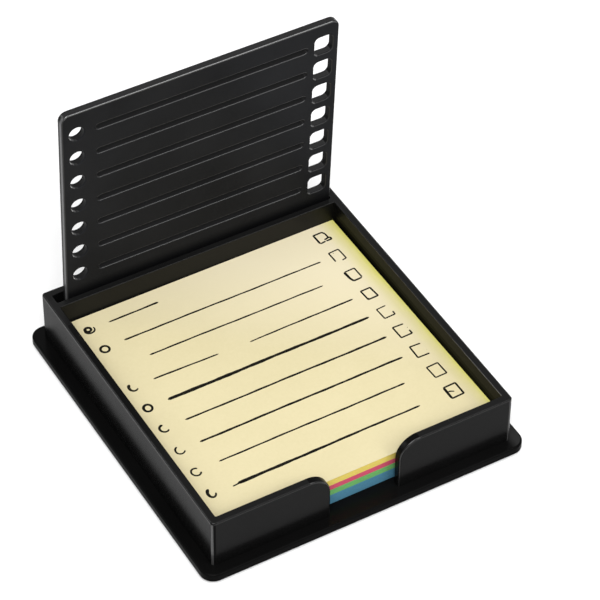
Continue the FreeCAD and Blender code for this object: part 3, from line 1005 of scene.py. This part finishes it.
def tray_lit_or_shaded(face):
    """Which lit or shaded copy of the black plastic a face of the tray gets: painted highlights along edges, corners
    and lines, painted shade on other faces.
    """
    c, n = face.center / MM, face.normal
    square = max(abs(n.x), abs(n.y), abs(n.z))
    if c.z < Z_FLOOR - 0.08:
        return "base_rim"
    if c.y < -TRAY_D / 2 + WALL_T + 0.05 and abs(c.x) < NOTCH_HALF_W + NOTCH_LOBE_R + 0.1 and c.z > Z_FLOOR + 0.01 \
            and n.y > -0.9:                             # the posts of the notch and the curve above them
        return "post_edge" if n.y < -0.2 else "post"
    if square < 0.998:
        if abs(n.z) < 0.1 and c.z < Z_RIM - RIM_R:      # the upright corners
            around = math.degrees(math.atan2(abs(n.y), abs(n.x)))
            if c.y > 0 or abs(c.x) < TRAY_W / 2 - TRAY_CORNER_R - 0.1:
                return "corner"
            if c.x > 0 and around > 60:
                return "corner_line"
            return "side" if around < 14 else "corner_lit" if around < 52 else "corner"
        if c.z < Z_FLOOR + 0.01:
            return "base_edge"
        if c.y > PART_FRONT_Y - 0.01 and c.y < PART_FRONT_Y + 0.3 and n.y < -0.1 and abs(c.x) < TRAY_W / 2 - WALL_T:
            return "partition_line"
        if n.x < -0.1 and n.z > 0.1 and c.x > TRAY_W / 2 - WALL_T and abs(n.x) > 2 * abs(n.y):
            return "roll_inner"
        if square < 0.88:
            return "edge"
        return "roll" if abs(n.x) > abs(n.y) else "roll_front"
    if abs(n.x) > 0.99:
        # painted shade: the foot of the right wall's inner face reflects less, below the note's edge
        if n.x < 0 and abs(c.x - (TRAY_W / 2 - WALL_T)) < 0.05 and c.z < INNER_LEVELS[1]:
            return "inner_foot" if c.z < INNER_LEVELS[0] else "inner_mid"
        return "side" if abs(c.x) > TRAY_W / 2 - 0.1 else "inner"
    if n.z > 0.99 and c.z > Z_RIM - 0.05:
        if abs(c.x) < TRAY_W / 2 - WALL_T and PART_FRONT_Y < c.y < PART_FRONT_Y + PART_T:
            return "partition_top"
        if c.x < 0 and c.y > PART_FRONT_Y:
            return "rim_back"
        return "rim_right" if c.x > TRAY_W / 2 - WALL_T else "rim"
    if n.y < -0.99 and abs(c.y - PART_FRONT_Y) < 0.05:
        return "partition"
    if n.y < -0.99 and c.y < -TRAY_D / 2 + 0.1:
        return "front"
    return "broad"


tray = give_by_face(make_tray(), TRAY_LIT_AND_SHADED, tray_lit_or_shaded)
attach(tray, "tray")
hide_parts("tray")

# Lit and shaded copies of one black plastic for the stencil. Painted highlights go on the front-top edge line, the left
# side, the lit bores and the hole lips, with a bright painted glint on the round holes' lower-left lips. Painted shade
# goes deep in the bores, on the back edges and on the dimmer sides. The face also gets painted shade towards the
# bottom, where it goes into the pocket.
PLATE_LIT_AND_SHADED = {name: black_plastic("stencil_" + name, base, rough, ior, 0.10, 21.0,
                                      (0.0174, 0.0204, 0.75) if name == "face" else None) for name, base, rough, ior in (
    ("face", (0.0118, 0.0121, 0.0132), (0.26, 0.34), 1.080),
    ("top", (0.0080, 0.0080, 0.0083), (0.24, 0.32), 1.46),
    ("top_line", (0.0080, 0.0080, 0.0083), (0.20, 0.28), 1.95),
    ("side", (0.0220, 0.0220, 0.0224), (0.26, 0.34), 1.22),
    ("side_lit", (0.0800, 0.0800, 0.0810), (0.24, 0.32), 1.26),
    ("side_dull", (0.0080, 0.0080, 0.0083), (0.26, 0.34), 1.12),
    ("dull", (0.0050, 0.0050, 0.0050), (0.26, 0.34), 1.07),
    ("bore", (0.0110, 0.0110, 0.0113), (0.42, 0.50), 1.18),
    ("bore_lit", (0.0210, 0.0210, 0.0214), (0.42, 0.50), 1.26),
    ("deep", (0.0060, 0.0060, 0.0060), (0.50, 0.60), 1.10),
    ("lip_faint", (0.0430, 0.0430, 0.0450), (0.24, 0.32), 1.16),
    ("lip_soft", (0.0160, 0.0160, 0.0163), (0.24, 0.32), 1.30),
    ("lip_worn", (0.0270, 0.0270, 0.0275), (0.22, 0.30), 1.42),
    ("lip_bright", (0.0600, 0.0600, 0.0605), (0.22, 0.30), 1.60),
    ("spot", (0.4500, 0.4500, 0.4510), (0.22, 0.30), 1.60))}
plate, plate_faces = make_plate()
give_by_face(plate, PLATE_LIT_AND_SHADED, lambda face: plate_faces.get(face.index, "face"))
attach(plate, "stencil")
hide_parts("stencil_plate")

rubber_mat = rubber()
first = None
for k, (sx, sy) in enumerate(((-1, -1), (1, -1), (1, 1), (-1, 1))):
    foot = cylinder("anti_slip_foot_%d" % (k + 1), sx * FOOT_X, sy * FOOT_Y, 0.0, FOOT_T, FOOT_R, 64, 0.18, 4)
    clean(foot)
    finish_shading(foot, 50)
    give(foot, rubber_mat)
    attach(foot, "tray")
    if first is None:
        first = foot
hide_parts("anti_slip_feet")

BLOCKS = [
    ("blue_notes", "blue_paper", 3.02, (0.066, 0.200, 0.290), (0.056, 0.175, 0.262)),
    ("green_notes", "green_paper", 1.75, (0.125, 0.345, 0.108), (0.108, 0.310, 0.092)),
    ("pink_notes", "pink_paper", 1.56, (0.480, 0.070, 0.122), (0.440, 0.060, 0.109)),
    ("yellow_notes", "yellow_paper", 1.73, (0.600, 0.480, 0.110), (0.550, 0.435, 0.095)),
]
z = Z_FLOOR + FLOOR_GAP
for k, (name, slot, thickness, colour, dark) in enumerate(BLOCKS):
    block = make_block(name + "_sheets", z, thickness, 100 + k)
    give(block, paper(name + "_paper", colour, dark, 3.0 + 5 * k))
    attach(block, "pad")
    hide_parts(name)
    z += thickness

note = give(make_top_note(), paper("cream_note_paper", (0.635, 0.563, 0.348), (0.605, 0.535, 0.324), 31.0,
                                   edge=((0.0336, 0.0386, 0.020, (0.78, 0.73, 0.19), 1.4, 0.90),
                                         (0.0368, 0.0379, 0.0, (0.68, 0.66, 0.15), 1.3, 0.75)),
                                   back_corner_light=((0.740, 0.665, 0.475), 0.80)))
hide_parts("top_note")
pen = give(make_ink(), ink())
for o in (note, pen):
    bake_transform(o)

# ---------------------------------------------------------------------------------------------------------------
# floor, light, camera
# ---------------------------------------------------------------------------------------------------------------
bm = bmesh.new()
bmesh.ops.create_grid(bm, x_segments=8, y_segments=8, size=3.0)
floor_mesh = bpy.data.meshes.new("studio_floor")
bm.to_mesh(floor_mesh)
bm.free()
floor = bpy.data.objects.new("studio_floor", floor_mesh)
SCENE.collection.objects.link(floor)
give(floor, floor_material())

world = bpy.data.worlds.new("studio")
SCENE.world = world
world.use_nodes = True
wn = world.node_tree.nodes
wl = world.node_tree.links
wn.clear()
w_out = wn.new("ShaderNodeOutputWorld")
w_bg = wn.new("ShaderNodeBackground")
w_bg.inputs["Color"].default_value = (1.0, 1.0, 1.0, 1.0)
w_bg.inputs["Strength"].default_value = 0.45
wl.new(w_bg.outputs[0], w_out.inputs[0])


def area(name, loc, target, size, power, colour=(1, 1, 1), size_y=None):
    light = bpy.data.lights.new(name, "AREA")
    light.energy = power
    light.color = colour
    light.size = size
    if size_y:
        light.shape = "RECTANGLE"
        light.size_y = size_y
    o = bpy.data.objects.new(name, light)
    SCENE.collection.objects.link(o)
    o.location = loc
    o.rotation_mode = "QUATERNION"
    o.rotation_quaternion = (Vector(target) - Vector(loc)).to_track_quat("-Z", "Y")
    return o


area("main_softbox", (-0.70, -1.05, 1.60), (0, 0, 0.02), 1.10, 30.0)
area("key_softbox", (0.42, -0.78, 0.74), (0, 0, 0.03), 0.50, 4.5)
area("top_softbox", (-0.15, -0.10, 1.60), (0, 0, 0.0), 0.90, 7.0)
area("rim_strip", (-0.80, 0.70, 0.45), (0, 0, 0.03), 0.16, 1.6, size_y=0.6)

camera_data = bpy.data.cameras.new("camera")
camera = bpy.data.objects.new("camera", camera_data)
SCENE.collection.objects.link(camera)
camera_data.sensor_width = 36.0
camera_data.sensor_fit = "HORIZONTAL"
camera_data.lens = 181.885
camera_data.clip_start, camera_data.clip_end = 0.05, 20.0
cam_x = Vector((0.8668513, -0.49852003, 0.00682679))
cam_y = Vector((0.34302076, 0.60628651, 0.71746318))
back = Vector((-0.36180876, -0.61959216, 0.69656297))
centre = Vector((-0.25200410, -0.44401447, 0.52737114))
camera.matrix_world = Matrix((
    (cam_x.x, cam_y.x, back.x, centre.x),
    (cam_x.y, cam_y.y, back.y, centre.y),
    (cam_x.z, cam_y.z, back.z, centre.z),
    (0, 0, 0, 1)))
SCENE.camera = camera

SCENE.view_settings.view_transform = "Standard"
SCENE.view_settings.look = "None"
SCENE.view_settings.exposure = 0.0
SCENE.view_settings.gamma = 1.0
